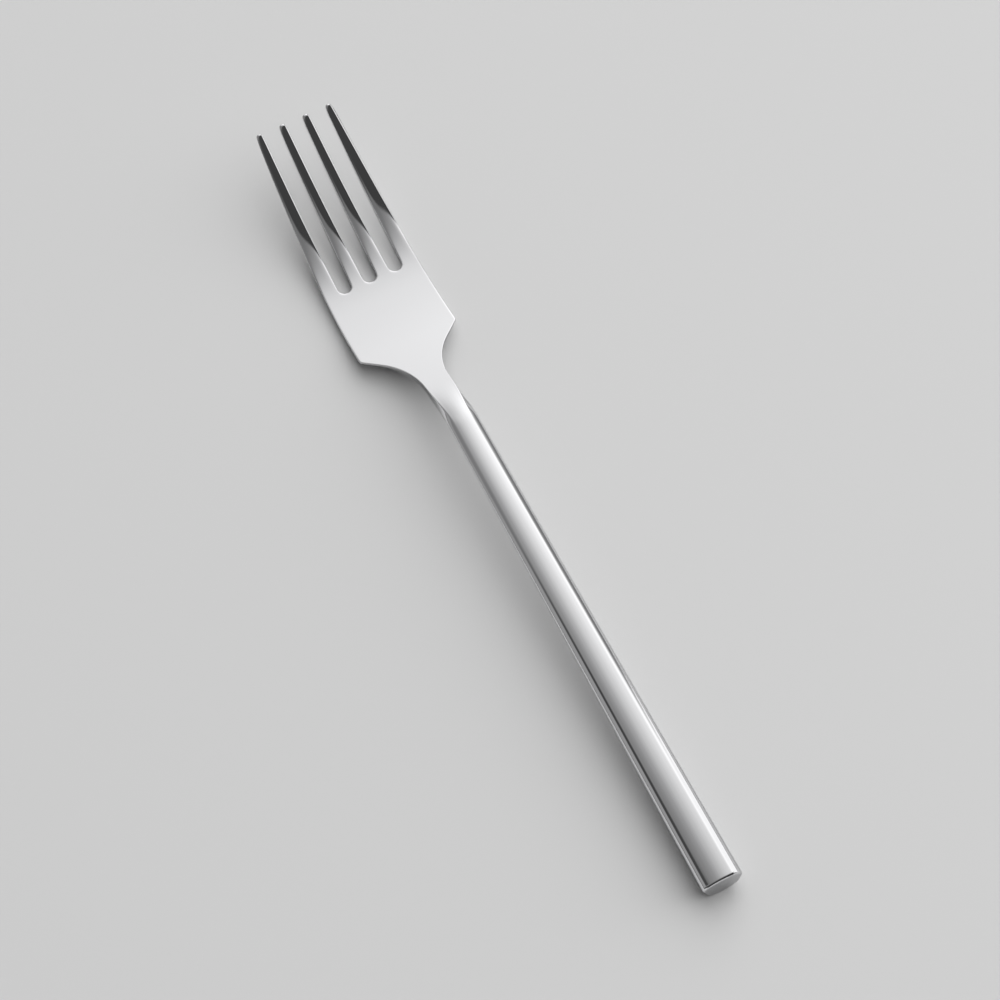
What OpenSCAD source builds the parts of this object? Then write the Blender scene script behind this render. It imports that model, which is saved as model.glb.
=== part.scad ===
// Dinner fork with a slim round bar handle, ground flat on top, and four tines.
// The whole fork is one forging: the handle end is at -X, the tines point to +X,
// and it lies on z = 0 on the end of its handle and on the belly of its head.

/* [Handle] */
// Length of the straight bar, from its end to the start of the neck
handle_l = 120; // [90:1:150]
// Width of the bar at its end
end_w = 9.4; // [8:0.1:12]
// Thickness of the bar at its end
end_t = 7.4; // [6:0.1:9]
// Width of the bar where the neck starts
bar_w = 6.7; // [5.6:0.1:7.8]
// Thickness of the bar where the neck starts
bar_t = 4; // [3.4:0.1:5.4]
// Width of the flat top at the end of the handle
end_flat_w = 6.1; // [4:0.1:7]
// Width of the flat top where the neck starts
bar_flat_w = 4.9; // [3.2:0.1:5.2]
// Angle at which the sides leave the flat top
crease_angle = 33; // [20:1:45]
// Small bevel round the end of the handle
end_bevel = 0.4; // [0.2:0.1:0.8]

/* [Neck] */
// Length of the neck, from the bar to the corners of the shoulders
neck_l = 27.7; // [25:0.1:36]
// Width of the neck where it is narrowest
neck_w = 6.2; // [5:0.1:7.5]
// Radius of the curve that sweeps from the neck out to the shoulders
sweep_r = 15; // [12:0.5:16]
// Angle of the shoulders against the fork's length
shoulder_angle = 51; // [46:1:58]
// Radius of the shoulder corners
corner_r = 1.1; // [0.6:0.1:2]

/* [Head] */
// Width of the head across the shoulders
shoulder_w = 24.4; // [23.5:0.1:26.5]
// Length of the plain part of the head, from the shoulder corners to the slots
palm_l = 18; // [14:0.5:26]
// Thickness of the head at its middle
head_t = 2.2; // [1.8:0.1:3]
// Thickness of the head at its sides
rim_t = 1.1; // [0.8:0.1:1.5]
// Radius that softens the edges of the head and tines
edge_r = 0.3; // [0.1:0.05:0.4]

/* [Tines] */
// Length of the tines, from the bottoms of the slots to the tips
tine_l = 40.3; // [34:0.1:50]
// Width across the tips of the outer tines
tip_span = 18.9; // [18:0.1:20.5]
// Thickness of the tines at their tips
tip_t = 1.2; // [1:0.1:1.8]
// Width of a slot at its round bottom
slot_w = 3.3; // [2.6:0.1:3.6]
// Width of a slot at the tips
mouth_w = 4.3; // [3.8:0.05:4.5]
// Distance from the middle slot to the slots beside it, at their bottoms
slot_pitch = 6.4; // [6:0.1:6.8]
// Distance from the middle slot to the slots beside it, at the tips
mouth_pitch = 5.9; // [5.8:0.05:6.1]
// Radius that rounds the corners of each tip
tip_r = 0.5; // [0.2:0.05:0.6]

/* [Side profile] */
// Height of the flat top above the table where the neck starts
crest_h = 12.6; // [10:0.1:16]
// Angle at which the neck drops towards the head
neck_angle = 23; // [16:1:28]
// Height of the top of the tips above the table
tip_h = 14.2; // [10:0.1:18]
// Angle at which the tines rise at their tips
tine_angle = 22; // [12:1:28]

/* [Hidden] */
// where the neck, the shoulder corners, the slots and the tips lie along the fork
shoulder_x = handle_l + neck_l;
root_x = shoulder_x + palm_l;
length = root_x + tine_l;
// the steepest place of the neck and its height, as shares of the neck and the drop
drop_x_share = 0.59;
drop_h_share = 0.545;
drop_x = handle_l + drop_x_share * neck_l;
drop_h = head_t + drop_h_share * (crest_h - head_t);
// the belly, the lowest place of the head, lies just behind the slots
belly_share = 0.7;
belly_x = shoulder_x + belly_share * palm_l;
// rise of the flat top for each millimetre of the bar
bar_rise = (crest_h - end_t) / handle_l;
// the sides of the bar are widest at this share of its thickness below the flat top
waist_share = 0.34;
// the upright band at the waist, as a share of the thickness
band_share = 0.08;
// the flat underneath, as a share of the width: small under the bar, broad under the head
bar_sole_share = 0.15;
head_sole_share = 0.5;
// how fast the head narrows from the shoulders to the tips
side_power = 1.6;
// arc from the neck to the shoulders: it ends on the straight shoulder
sweep_rise = neck_w / 2 + sweep_r - shoulder_w / 2;
sweep_x = shoulder_x + (sweep_rise * cos(shoulder_angle) - sweep_r) / sin(shoulder_angle);
sweep_end = sweep_x + sweep_r * sin(shoulder_angle);
// arc round the shoulder corner
corner_x = shoulder_x + corner_r * tan(shoulder_angle / 2);
corner_start = corner_x - corner_r * sin(shoulder_angle);
// the flat top starts to turn into the face of the head a little way into the neck
turn_share = 0.15;
turn_x = handle_l + turn_share * (sweep_x - handle_l);
// overrun of the cutting shapes
over = 1;
// number of cross sections along each stretch, and points on each rounded edge
bar_steps = 8;
neck_steps = 16;
sweep_steps = 14;
corner_steps = 8;
palm_steps = 6;
tine_steps = 24;
arc_steps = 6;
steel = "silver";

// straight and eased change from a to b as t goes from 0 to 1
function limit(t) = max(0, min(1, t));
function mix(a, b, t) = a + (b - a) * t;
function ease(t) = limit(t) * limit(t) * (3 - 2 * limit(t));

// cubic curve between two heights with a given slope at each
function curve(t, span, z0, slope0, z1, slope1) =
    z0 * (1 - ease(t)) + z1 * ease(t)
    + span * (slope0 * t * (1 - t) * (1 - t) - slope1 * t * t * (1 - t));

// height of the top face above the table
function top_z(x) =
    x <= handle_l ? end_t + bar_rise * x
    : x <= drop_x ? curve((x - handle_l) / (drop_x - handle_l), drop_x - handle_l,
        crest_h, bar_rise, drop_h, -tan(neck_angle))
    : x <= belly_x ? curve((x - drop_x) / (belly_x - drop_x), belly_x - drop_x,
        drop_h, -tan(neck_angle), head_t, 0)
    : curve((x - belly_x) / (length - belly_x), length - belly_x,
        head_t, 0, tip_h, tan(tine_angle));

// thickness under the top face
function thick(x) =
    x <= handle_l ? mix(end_t, bar_t, x / handle_l)
    : x <= belly_x ? mix(bar_t, head_t, ease((x - handle_l) / neck_l))
    : mix(head_t, tip_t, ease((x - belly_x) / (length - belly_x)));

// half of the overall width
function half_w(x) =
    x <= handle_l ? mix(end_w, bar_w, x / handle_l) / 2
    : x <= sweep_x ? mix(bar_w, neck_w, ease((x - handle_l) / (sweep_x - handle_l))) / 2
    : x <= sweep_end ? neck_w / 2 + sweep_r - sqrt(sweep_r * sweep_r - pow(x - sweep_x, 2))
    : x <= corner_start ? shoulder_w / 2 + (x - shoulder_x) * tan(shoulder_angle)
    : x <= corner_x ? shoulder_w / 2 - corner_r + sqrt(corner_r * corner_r - pow(corner_x - x, 2))
    : mix(shoulder_w, tip_span, pow((x - corner_x) / (length - corner_x), side_power)) / 2;

// 0 on the bar, 1 where the section has become the flat plate of the head
function plate(x) = ease((x - turn_x) / (sweep_x - turn_x));

// half of the flat top
function half_flat(x) =
    mix(mix(end_flat_w, bar_flat_w, limit(x / handle_l)) / 2, half_w(x) - edge_r, plate(x));

// thickness of the flat plate at its sides: full at the neck, thin from the shoulders on
function rim(x) =
    min(thick(x) - edge_r, mix(thick(x), rim_t, ease((x - sweep_x) / (shoulder_x - sweep_x))));

// one side of a section, from the edge of the flat top down to the underside, as [out, down]
function side(w, t, flat, rim, p) =
    let (
        start = mix(crease_angle, 0, p),
        waist = mix(waist_share * t, edge_r, p),
        band = mix(band_share * t, rim - edge_r, p),
        sole = mix(bar_sole_share, head_sole_share, p) * w
    )
    concat(
        [for (i = [0 : arc_steps])
            let (a = mix(start, 90, i / arc_steps))
            [w - (w - flat) * (1 - sin(a)) / (1 - sin(start)), waist * (1 - cos(a) / cos(start))]],
        [for (i = [0 : arc_steps])
            let (a = 90 * i / arc_steps)
            [sole + (w - sole) * cos(a), waist + band + (t - waist - band) * sin(a)]]
    );

// a closed section at x, drawn in by the bevel at the end of the handle
function section(x, inset) =
    let (
        s = side(half_w(x) - inset, thick(x) - 2 * inset, half_flat(x) - inset, rim(x), plate(x)),
        z = top_z(x) - inset
    )
    concat(
        [for (p = s) [x, -p[0], z - p[1]]],
        [for (i = [len(s) - 1 : -1 : 0]) [x, s[i][0], z - s[i][1]]]
    );

// places of the sections along the fork
stations = concat(
    [for (i = [1 : bar_steps]) mix(end_bevel, handle_l, i / bar_steps)],
    [for (i = [1 : neck_steps]) mix(handle_l, sweep_x, i / neck_steps)],
    [for (i = [1 : sweep_steps]) mix(sweep_x, sweep_end, i / sweep_steps)],
    [corner_start],
    [for (i = [1 : corner_steps]) corner_x - corner_r * sin(shoulder_angle * (1 - i / corner_steps))],
    [for (i = [1 : palm_steps]) mix(corner_x, belly_x, i / palm_steps)],
    [for (i = [1 : tine_steps]) mix(belly_x, length, i / tine_steps)]
);

// the solid forging before the slots are cut
module forging() {
    rings = concat(
        [section(0, end_bevel), section(end_bevel, 0)],
        [for (x = stations) section(x, 0)]
    );
    n = len(rings[0]);
    last = len(rings) - 1;
    polyhedron(
        points = [for (ring = rings) each ring],
        faces = concat(
            [[for (i = [n - 1 : -1 : 0]) i]],
            [for (r = [0 : last - 1], i = [0 : n - 1])
                let (j = (i + 1) % n)
                each [
                    [r * n + i, r * n + j, (r + 1) * n + i],
                    [r * n + j, (r + 1) * n + j, (r + 1) * n + i]
                ]],
            [[for (i = [0 : n - 1]) last * n + i]]
        )
    );
}

// one slot, from its round bottom to beyond the tips; side is -1, 0 or 1
module slot(side) {
    bottom_x = root_x + slot_w / 2;
    run = length - bottom_x;
    // the straight walls carry on past the tips
    far_share = (run + over) / run;
    far_y = mix(slot_pitch, mouth_pitch, far_share) * side;
    far_w = mix(slot_w, mouth_w, far_share);
    near_y = slot_pitch * side;
    translate([bottom_x, near_y])
        circle(d = slot_w, $fn = 48);
    polygon([
        [bottom_x, near_y - slot_w / 2],
        [length + over, far_y - far_w / 2],
        [length + over, far_y + far_w / 2],
        [bottom_x, near_y + slot_w / 2]
    ]);
}

// what rounds one corner of a tip; way is 1 where the tine lies on the -Y side of the corner
module tip_corner(y, way) {
    difference() {
        translate([length - tip_r, way > 0 ? y - tip_r : y - over])
            square([tip_r + over, tip_r + over]);
        translate([length - tip_r, y - way * tip_r])
            circle(r = tip_r, $fn = 32);
    }
}

// the fork, turned so that the middle of its length is at the origin
module fork() {
    inner_y = mouth_w / 2;
    outer_y = mouth_pitch + mouth_w / 2;
    color(steel)
        translate([-length / 2, 0, 0])
            difference() {
                forging();
                translate([0, 0, -over])
                    linear_extrude(height = tip_h + crest_h + 2 * over) {
                        for (s = [-1, 0, 1])
                            slot(s);
                        for (s = [-1, 1]) {
                            tip_corner(s * inner_y, -s);
                            tip_corner(s * (mouth_pitch - mouth_w / 2), s);
                            tip_corner(s * outer_y, -s);
                            tip_corner(s * tip_span / 2, s);
                        }
                    }
            }
}

fork();
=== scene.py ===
import math

import bmesh
import bpy
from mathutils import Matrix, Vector


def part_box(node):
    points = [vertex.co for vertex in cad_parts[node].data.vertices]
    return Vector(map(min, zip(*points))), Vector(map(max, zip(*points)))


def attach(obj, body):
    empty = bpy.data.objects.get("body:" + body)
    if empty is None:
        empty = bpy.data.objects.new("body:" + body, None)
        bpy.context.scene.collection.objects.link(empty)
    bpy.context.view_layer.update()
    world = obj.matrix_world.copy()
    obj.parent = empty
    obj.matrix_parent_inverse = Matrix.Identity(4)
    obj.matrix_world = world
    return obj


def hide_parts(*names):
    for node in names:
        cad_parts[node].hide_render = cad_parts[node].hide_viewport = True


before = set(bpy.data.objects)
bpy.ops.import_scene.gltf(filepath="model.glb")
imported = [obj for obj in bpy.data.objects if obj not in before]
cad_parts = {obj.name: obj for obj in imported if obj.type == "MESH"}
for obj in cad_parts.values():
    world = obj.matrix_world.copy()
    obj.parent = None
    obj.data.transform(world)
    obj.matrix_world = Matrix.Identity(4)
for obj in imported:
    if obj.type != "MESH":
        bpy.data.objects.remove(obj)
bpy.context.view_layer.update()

# The fork: one bar of stainless steel. The handle is a round bar ground flat on top, the head is
# rolled thin, the slots are cut, and the blank is pressed in a die to its side profile.
low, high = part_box("fork")
length = high.x - low.x
shoulder_w = high.y - low.y
tip_h = high.z
# handle: a straight taper from its end to the neck
handle_l = 0.120
end_w = 0.0094
end_t = 0.0074
end_flat_w = 0.0064
bar_w = 0.0070
bar_t = 0.0040
bar_flat_w = 0.0043
crease_angle = math.radians(42)
waist_share = 0.29
sole_share = 0.15
end_bevel = 0.0003
# neck and shoulders
neck_l = 0.0277
neck_w = 0.0062
sweep_r = 0.015
shoulder_angle = math.radians(51)
corner_r = 0.0011
# head and tines
palm_l = 0.018
head_t = 0.0022
rim_t = 0.0011
tip_t = 0.0012
tip_span = 0.0192
slot_w = 0.0033
mouth_w = 0.0040
slot_pitch = 0.0064
mouth_pitch = 0.0059
tip_bevel = 0.0006
tip_taper = 0.62
# side profile
crest_h = 0.0126
drop_at = 0.59
drop_share = 0.545
belly_at = 0.7
neck_angle = math.radians(23)
tine_angle = math.radians(22)
# polishing rounds every edge, crowns the flat and crowns each tine
edge_soft = 0.00035
flat_crown = 0.1
crease_soft = 0.9
tine_crown = 0.00026
# the bar is rolled about its length, its walls lean, and the bar and the tines sit off the middle
bar_roll = math.radians(7.6)
bar_lean = 0.072
side_shift = 0.00012

shoulder_x = handle_l + neck_l
root_x = shoulder_x + palm_l
crown_l = 0.35 * (length - root_x)
belly_x = shoulder_x + belly_at * palm_l
drop_x = handle_l + drop_at * neck_l
drop_h = head_t + drop_share * (crest_h - head_t)
bar_rise = (crest_h - end_t) / handle_l
sweep_rise = neck_w / 2 + sweep_r - shoulder_w / 2
sweep_x = shoulder_x + (sweep_rise * math.cos(shoulder_angle) - sweep_r) / math.sin(shoulder_angle)
sweep_end = sweep_x + sweep_r * math.sin(shoulder_angle)
corner_x = shoulder_x + corner_r * math.tan(shoulder_angle / 2)
corner_start = corner_x - corner_r * math.sin(shoulder_angle)
slot_r = slot_w / 2
slot_x = root_x + slot_r


def mix(a, b, t):
    return a + (b - a) * t


def ease(t):
    t = max(0, min(1, t))
    return t * t * (3 - 2 * t)


def curve(t, span, z0, slope0, z1, slope1):
    return mix(z0, z1, ease(t)) + span * (slope0 * t * (1 - t) ** 2 - slope1 * t * t * (1 - t))


def die_height(x):
    """Height of the top face above the table, where the die presses it."""
    if x <= handle_l:
        return end_t + bar_rise * x
    if x <= drop_x:
        span = drop_x - handle_l
        return curve((x - handle_l) / span, span, crest_h, bar_rise, drop_h, -math.tan(neck_angle))
    if x <= belly_x:
        span = belly_x - drop_x
        return curve((x - drop_x) / span, span, drop_h, -math.tan(neck_angle), head_t, 0)
    span = length - belly_x
    return curve((x - belly_x) / span, span, head_t, 0, tip_h, math.tan(tine_angle))


def thickness(x):
    if x <= handle_l:
        return mix(end_t, bar_t, x / handle_l)
    if x <= belly_x:
        return mix(bar_t, head_t, ease((x - handle_l) / neck_l))
    return mix(head_t, tip_t, ease((x - belly_x) / (length - belly_x)))


def half_width(x):
    if x <= handle_l:
        return mix(end_w, bar_w, x / handle_l) / 2
    if x <= sweep_x:
        return mix(bar_w, neck_w, ease((x - handle_l) / (sweep_x - handle_l))) / 2
    if x <= sweep_end:
        return neck_w / 2 + sweep_r - math.sqrt(sweep_r ** 2 - (x - sweep_x) ** 2)
    if x <= corner_start:
        return shoulder_w / 2 + (x - shoulder_x) * math.tan(shoulder_angle)
    if x <= corner_x:
        return shoulder_w / 2 - corner_r + math.sqrt(corner_r ** 2 - (corner_x - x) ** 2)
    return mix(shoulder_w, tip_span, ((x - corner_x) / (length - corner_x)) ** 1.6) / 2


def plate_share(x):
    """0 on the round bar, 1 where the section has become the flat plate of the head."""
    return ease((x - handle_l) / (sweep_x - handle_l))


def rim_thickness(x):
    full = thickness(x)
    return min(full - 0.0003, mix(full, rim_t, ease((x - sweep_x) / (shoulder_x - sweep_x))))


# The blank is ruled into strips along its length: four across each tine and six across each slot.
tine_cols = 4
slot_cols = 6
rows = 4
cols = 4 * tine_cols + 3 * slot_cols
slot_fan = math.radians(60)


def spread(a, b, n):
    return [mix(a, b, i / n) for i in range(1, n + 1)]


lines = [0, end_bevel, 2 * end_bevel, 0.0012, 0.0025] + spread(0.0025, handle_l, 8)
lines += spread(handle_l, sweep_x, 9)
lines += [sweep_x + sweep_r * math.sin(a) for a in spread(0, shoulder_angle, 8)]
lines += [corner_x - corner_r * math.sin(a) for a in spread(shoulder_angle, 0, 4)]
lines += spread(corner_x, root_x - 0.0045, 4)
# the last lines before the slots bend round them, each at a distance from the slot's edge
straight = len(lines)
bends = [(0.0030, 0), (0.0016, 0.6), (0.0007, 1), (0, 1)]
body_lines = straight + len(bends)
tine_lines = [slot_x - slot_r * math.cos(math.radians(75)), slot_x]
tine_lines += spread(slot_x, length - tip_bevel, 9) + [length]


def rule(edges, soft):
    """Places of the column lines, from the places of the eight edges of the four tines."""
    places = []
    for tine in range(4):
        left, right = edges[2 * tine], edges[2 * tine + 1]
        places += [left, left + soft, (left + right) / 2, right - soft, right]
        if tine < 3:
            places += [mix(right, edges[2 * tine + 2], n / slot_cols) for n in range(1, slot_cols)]
    return places


def tine_edges(outer, pitch, half_gap):
    inner = [-pitch - half_gap, -pitch + half_gap, -half_gap, half_gap, pitch - half_gap, pitch + half_gap]
    return [-outer] + inner + [outer]


root_edges = tine_edges(shoulder_w / 2, slot_pitch, slot_r * math.sin(slot_fan))
shares = [2 * y / shoulder_w for y in rule(root_edges, edge_soft)]


def plan(i, j):
    """Place of a line and a column on the flat blank."""
    if i < straight:
        return lines[i], shares[j] * half_width(lines[i])
    if i < body_lines:
        offset, bend = bends[i - straight]
        x = root_x - 1.2 * offset
        y = shares[j] * half_width(x)
        reach = slot_r + offset
        bent_x = slot_x - reach * math.cos(slot_fan)
        outer = half_width(bent_x)
        bent_y = rule(tine_edges(outer, slot_pitch, reach * math.sin(slot_fan)), edge_soft)[j]
        slot, step = divmod(j - tine_cols, tine_cols + slot_cols)
        if 0 <= slot < 3 and step <= slot_cols:
            angle = mix(-slot_fan, slot_fan, step / slot_cols)
            bent_x = slot_x - reach * math.cos(angle)
            bent_y = (slot - 1) * slot_pitch + reach * math.sin(angle)
        return mix(x, bent_x, bend), mix(y, bent_y, bend)
    x = tine_lines[i - body_lines]
    if x < slot_x:
        half_gap = math.sqrt(slot_r ** 2 - (slot_x - x) ** 2)
        edges = tine_edges(half_width(x), slot_pitch, half_gap)
        return x, rule(edges, edge_soft)[j]
    run = (x - slot_x) / (length - slot_x)
    edges = tine_edges(half_width(x), mix(slot_pitch, mouth_pitch, run), mix(slot_w, mouth_w, run) / 2)
    places = rule(edges, edge_soft)
    if x == length:
        middle = places[j - j % (tine_cols + slot_cols) + tine_cols // 2]
        return x, mix(middle, places[j], tip_taper)
    return x, places[j]


def section(i, j, k):
    """Place of one corner of the blank, as along, across and depth under the top face."""
    x, y = plan(i, j)
    w = half_width(x)
    t = thickness(x)
    p = plate_share(x)
    # the flat plate of the head, thinner towards its sides
    sole = 0.5 * w
    rim = rim_thickness(x)
    bow = math.sqrt(max(0, 1 - (max(0, abs(y) - sole) / (w - sole)) ** 2))
    under = rim - edge_soft + (t - rim + edge_soft) * bow
    crowned = ease((x - root_x) / crown_l)
    across = j % (tine_cols + slot_cols)
    on_edge = across in (0, tine_cols)
    dip = tine_crown * crowned * (1 if on_edge else 0.2 if across in (1, tine_cols - 1) else 0)
    depths = [dip, dip + edge_soft, under / 2, under - edge_soft, under]
    plate_y, plate_z = y, depths[k]
    # the round bar with its flat
    flat = mix(end_flat_w, bar_flat_w, min(1, x / handle_l)) / 2
    waist = waist_share * t
    side = 1 if j > cols / 2 else -1
    turn = 90 * min(1, 2 * min(j, cols - j) / (cols - 2))
    crown = flat_crown * flat
    share = shares[j] * (crease_soft if j in (1, cols - 1) else 1)
    top_y, top_z = share * flat, crown * share ** 2
    bar_sole = sole_share * w if turn < 90 or 2 * j != cols else 0
    low_y = side * (bar_sole + (w - bar_sole) * math.cos(math.radians(turn)))
    low_y = 0 if 2 * j == cols else low_y
    low_z = 1.08 * waist + (t - 1.08 * waist) * math.sin(math.radians(turn))
    down = [0, 0.06, 0.5, 0.94, 1][k]
    bar_y, bar_z = mix(top_y, low_y, down), mix(top_z, low_z, down)
    if j in (0, cols) and 0 < k < rows:
        a = mix(crease_angle, math.pi / 2, [0, 0.12, 0.38, 0.7][k])
        out = (1 - math.sin(a)) / (1 - math.sin(crease_angle))
        bar_y = side * (w - (w - flat) * out)
        bar_z = crown + (waist - crown) * (1 - math.cos(a) / math.cos(crease_angle))
    y, z = mix(bar_y, plate_y, p), mix(bar_z, plate_z, p)
    if i == 0:
        y *= 1 - end_bevel / w
        z = end_bevel + z * (1 - 2 * end_bevel / t)
    if x == length:
        z = mix(under / 2, z, 0.7)
    return Vector((x, y, z))


def select_edges(mesh_data, axis):
    """Selects the edges that run along one axis and nothing else."""
    bm = bmesh.from_edit_mesh(mesh_data)
    for edge in bm.edges:
        run = edge.verts[1].co - edge.verts[0].co
        edge.select_set(max(range(3), key=lambda n: abs(run[n])) == axis)
    bm.select_flush_mode()
    bmesh.update_edit_mesh(mesh_data)


bpy.ops.object.select_all(action="DESELECT")
bpy.ops.mesh.primitive_cube_add(size=1, location=(0.5, 0.5, 0.5))
fork = bpy.context.object
fork.name = "polished_fork"
bpy.ops.object.transform_apply(location=True, rotation=True, scale=True)
bpy.ops.object.mode_set(mode="EDIT")
bpy.ops.mesh.select_mode(type="EDGE")
# the blank is ruled in plain numbers: line, column and row
bpy.ops.mesh.select_all(action="SELECT")
bpy.ops.transform.resize(value=(body_lines - 1, cols, rows), center_override=(0, 0, 0))
for axis, cuts in enumerate([body_lines - 2, cols - 1, rows - 1]):
    select_edges(fork.data, axis)
    bpy.ops.mesh.subdivide(number_cuts=cuts)
bpy.ops.mesh.select_mode(type="FACE")
for _ in tine_lines:
    bm = bmesh.from_edit_mesh(fork.data)
    end = max(vert.co.x for vert in bm.verts)
    for face in bm.faces:
        middle = face.calc_center_median()
        across = middle.y % (tine_cols + slot_cols)
        face.select_set(middle.x > end - 0.1 and across < tine_cols)
    bmesh.update_edit_mesh(fork.data)
    bpy.ops.mesh.extrude_region_move(TRANSFORM_OT_translate={"value": (1, 0, 0)})
bpy.ops.object.mode_set(mode="OBJECT")
# each corner of the ruled blank is drawn to its place
for vert in fork.data.vertices:
    place = section(round(vert.co.x), round(vert.co.y), round(rows - vert.co.z))
    vert.co = (place.x, place.y, -place.z)
smooth = fork.modifiers.new("polish", "SUBSURF")
smooth.levels = 2
smooth.render_levels = 2
bpy.ops.object.modifier_apply(modifier=smooth.name)
# the die presses the flat blank to its side profile, and the bar comes out slightly rolled and leaning
for vert in fork.data.vertices:
    x, y, depth = vert.co.x, vert.co.y, -vert.co.z
    t = thickness(x)
    roll = bar_roll * max(0, 1 - x / shoulder_x)
    lean = bar_lean * (1 - x / length) * t * ease(depth / (0.5 * t))
    y -= (side_shift + lean) * (1 - ease((x - handle_l) / (shoulder_x - handle_l)))
    y -= side_shift * ease((x - root_x) / crown_l)
    rolled_y = y * math.cos(roll) - depth * math.sin(roll)
    rolled_depth = depth * math.cos(roll) + y * math.sin(roll)
    vert.co = (x + low.x, rolled_y, die_height(x) - rolled_depth)
bpy.ops.object.mode_set(mode="EDIT")
bpy.ops.mesh.select_all(action="SELECT")
bpy.ops.mesh.normals_make_consistent(inside=False)
bpy.ops.object.mode_set(mode="OBJECT")
bpy.ops.object.shade_smooth()

steel = bpy.data.materials.new("polished_steel")
steel.use_nodes = True
shader = steel.node_tree.nodes["Principled BSDF"]
shader.inputs["Base Color"].default_value = (0.78, 0.78, 0.79, 1)
shader.inputs["Metallic"].default_value = 1
shader.inputs["Specular Tint"].default_value = (0.5, 0.5, 0.5, 1)
# fine lines left by the polishing wheel run along the fork, under faint clouds of handling
wires = steel.node_tree
place = wires.nodes.new("ShaderNodeTexCoord").outputs["Object"]
stretch = wires.nodes.new("ShaderNodeMapping")
stretch.inputs["Scale"].default_value = (60, 9000, 9000)
wires.links.new(place, stretch.inputs["Vector"])
scratches = wires.nodes.new("ShaderNodeTexNoise")
scratches.inputs["Scale"].default_value = 1
scratches.inputs["Detail"].default_value = 3
wires.links.new(stretch.outputs["Vector"], scratches.inputs["Vector"])
clouds = wires.nodes.new("ShaderNodeTexNoise")
clouds.inputs["Scale"].default_value = 90
clouds.inputs["Detail"].default_value = 4
wires.links.new(place, clouds.inputs["Vector"])
wear = wires.nodes.new("ShaderNodeMath")
wear.operation = "MULTIPLY"
wires.links.new(scratches.outputs["Fac"], wear.inputs[0])
wires.links.new(clouds.outputs["Fac"], wear.inputs[1])
gloss = wires.nodes.new("ShaderNodeMapRange")
gloss.inputs["From Min"].default_value = 0.1
gloss.inputs["From Max"].default_value = 0.5
gloss.inputs["To Min"].default_value = 0.03
gloss.inputs["To Max"].default_value = 0.09
wires.links.new(wear.outputs["Value"], gloss.inputs["Value"])
wires.links.new(gloss.outputs["Result"], shader.inputs["Roughness"])
grain = wires.nodes.new("ShaderNodeBump")
grain.inputs["Strength"].default_value = 0.02
grain.inputs["Distance"].default_value = 0.00001
wires.links.new(scratches.outputs["Fac"], grain.inputs["Height"])
wires.links.new(grain.outputs["Normal"], shader.inputs["Normal"])
fork.data.materials.append(steel)
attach(fork, "root")
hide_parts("fork")

# The floor: a plain pale sheet that takes the fork's shadow.
bpy.ops.object.select_all(action="DESELECT")
bpy.ops.mesh.primitive_plane_add(size=60, location=(0, 0, 0))
floor = bpy.context.object
floor.name = "floor"
paper = bpy.data.materials.new("pale_floor")
paper.use_nodes = True
surface = paper.node_tree.nodes["Principled BSDF"]
surface.inputs["Base Color"].default_value = (0.6, 0.6, 0.6, 1)
surface.inputs["Roughness"].default_value = 0.9
surface.inputs["Specular IOR Level"].default_value = 0.1
floor.data.materials.append(paper)

# The studio round the table: a white scrim hangs over the back and left, brighter the further back,
# the room is dark in front and on the right, a window stands on the right, and a low wall goes all
# round.
world = bpy.data.worlds.new("studio")
bpy.context.scene.world = world
world.use_nodes = True
tree = world.node_tree
to_right = (-0.4577, -0.8891, 0)
to_back = (0.8891, -0.4577, 0)


def work_out(kind, operation, *values, output=0):
    node = tree.nodes.new(kind)
    node.operation = operation
    for socket, value in zip(node.inputs, values):
        if isinstance(value, bpy.types.NodeSocket):
            tree.links.new(value, socket)
        else:
            socket.default_value = value
    return node.outputs[output]


def plus(a, b):
    return work_out("ShaderNodeMath", "ADD", a, b)


def times(a, b):
    return work_out("ShaderNodeMath", "MULTIPLY", a, b)


def rise(value, start, end, low=0, high=1):
    """A soft step from low to high as the value goes from start to end."""
    node = tree.nodes.new("ShaderNodeMapRange")
    node.interpolation_type = "SMOOTHSTEP"
    tree.links.new(value, node.inputs["Value"])
    for name, number in zip(("From Min", "From Max", "To Min", "To Max"), (start, end, low, high)):
        node.inputs[name].default_value = number
    return node.outputs["Result"]


# where a direction points, to the right and to the back of the fork, on a flat map of the dome
direction = tree.nodes.new("ShaderNodeTexCoord").outputs["Generated"]
upward = work_out("ShaderNodeVectorMath", "DOT_PRODUCT", direction, (0, 0, 1), output=1)
squeeze = work_out("ShaderNodeMath", "SQRT", work_out("ShaderNodeMath", "MAXIMUM", plus(upward, 1), 0.05))
aside = work_out("ShaderNodeVectorMath", "DOT_PRODUCT", direction, to_right, output=1)
along = work_out("ShaderNodeVectorMath", "DOT_PRODUCT", direction, to_back, output=1)
right = work_out("ShaderNodeMath", "DIVIDE", aside, squeeze)
back = work_out("ShaderNodeMath", "DIVIDE", along, squeeze)
inside = plus(back, times(right, -1.02))

scrim = plus(rise(back, -0.05, 0.26, 0, 0.386), rise(back, 0.02, 0.35, 0, 0.319))
scrim = plus(scrim, rise(plus(right, back), 0.23, 0.78, 0, 0.548))
scrim = times(scrim, rise(plus(right, times(back, 0.2)), -0.44, 0.12))
reach = work_out("ShaderNodeMath", "MAXIMUM", rise(right, 0.5, 0.2), rise(inside, -0.008, -0.022))
reach = work_out("ShaderNodeMath", "MAXIMUM", reach, rise(plus(back, times(right, -0.375)), 0.365, 0.305))
room = plus(rise(reach, 0, 1, 0.2, 0.178), rise(right, -0.58, -0.66, 0, 0.113))
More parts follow.
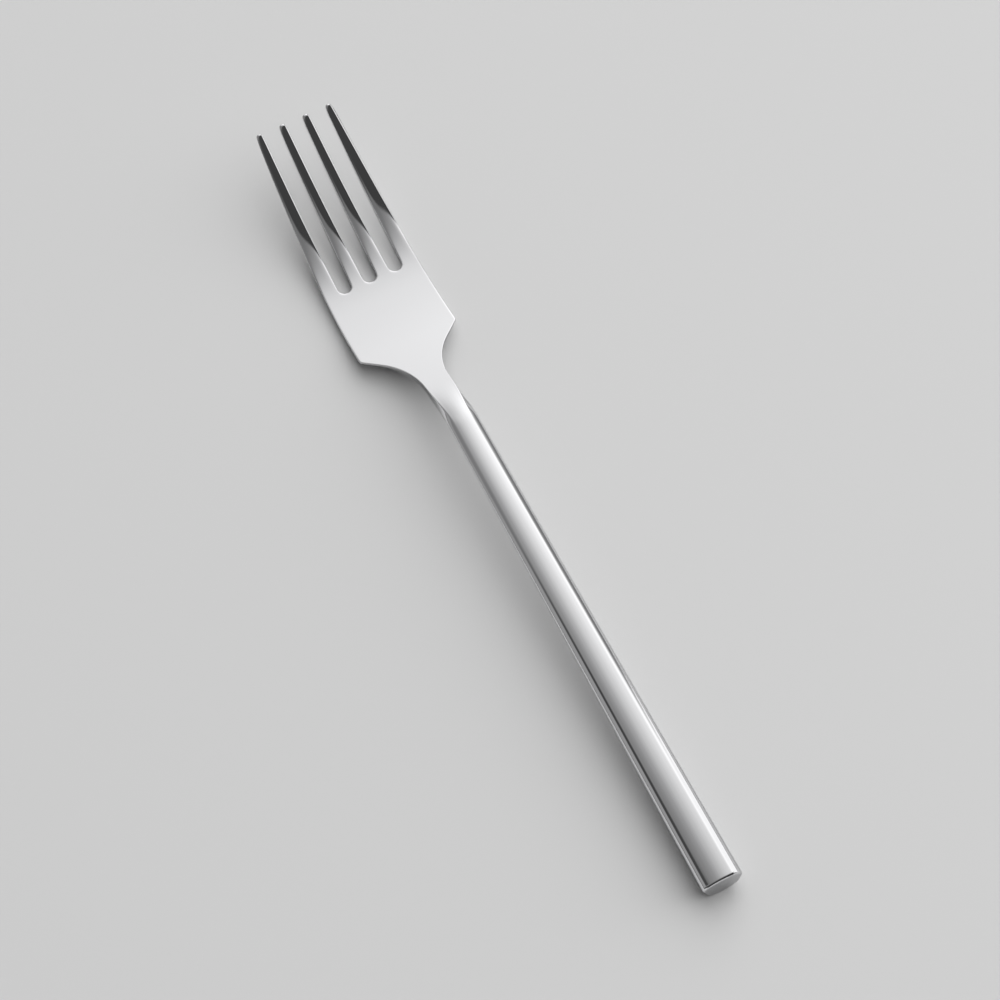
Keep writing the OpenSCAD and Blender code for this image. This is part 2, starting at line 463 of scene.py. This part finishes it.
# a dark gap parts the scrim from a grey card at the front left
gap = work_out("ShaderNodeMath", "ABSOLUTE", plus(plus(back, times(right, -0.375)), -0.14))
gap = times(rise(gap, 0.06, 0.02), times(rise(right, -0.26, -0.32), rise(right, -0.64, -0.53)))
gap = rise(gap, 0, 1, 1, 0.05)
edge = times(rise(inside, -0.126, -0.092), rise(inside, -0.092, 0.218, 0.776, 1))
edge = times(edge, rise(plus(back, times(right, -0.22)), -0.25, -0.08))
light = plus(times(times(plus(room, times(scrim, reach)), edge), gap), 0.056)
# the window stands on the right, from the table up
window = times(rise(right, 0.5, 0.58), times(rise(inside, -0.008, -0.022), rise(back, -0.1, 0.1)))
light = work_out("ShaderNodeMath", "MAXIMUM", light, times(window, 1.2))
# a wall stands all round, just over the horizon, and it is pale but for its shaded left
wall = times(rise(upward, 0.16, 0.10), rise(right, -0.5, 0, 0.2, 0.48))
light = plus(times(light, rise(upward, 0.10, 0.16)), wall)
tree.links.new(light, tree.nodes["Background"].inputs["Strength"])
tree.nodes["Background"].inputs["Color"].default_value = (1, 1, 1, 1)

# The lamp: a wide soft light at the back right, which gives the fork its faint shadow on the left.
soft_light = bpy.data.lights.new("soft_light", "AREA")
soft_light.shape = "DISK"
soft_light.size = 4.2
soft_light.energy = 57
lamp = bpy.data.objects.new("soft_light", soft_light)
lamp_far = 1.6
lamp_az = math.radians(40)
lamp_tilt = math.radians(38)
lamp_from = Vector(to_right) * math.cos(lamp_az) + Vector(to_back) * math.sin(lamp_az)
lamp_from = lamp_from * math.sin(lamp_tilt) + Vector((0, 0, math.cos(lamp_tilt)))
lamp.location = lamp_from * lamp_far
lamp.rotation_euler = lamp_from.to_track_quat("Z", "Y").to_euler()
lamp.visible_camera = False
lamp.visible_glossy = False
bpy.context.scene.collection.objects.link(lamp)

# The camera stands about a metre off and looks down at the fork from the handle's side.
camera = bpy.data.cameras.new("camera")
camera.lens = 161.3
camera.sensor_width = 36
viewer = bpy.data.objects.new("camera", camera)
viewer.location = (-0.3803, 0.1954, 0.9031)
aim = Vector((0.0014, -0.0011, 0)) - viewer.location
viewer.rotation_euler = aim.to_track_quat("-Z", "Y").to_euler()
bpy.context.scene.collection.objects.link(viewer)
bpy.context.scene.camera = viewer
bpy.context.scene.view_settings.view_transform = "Standard"
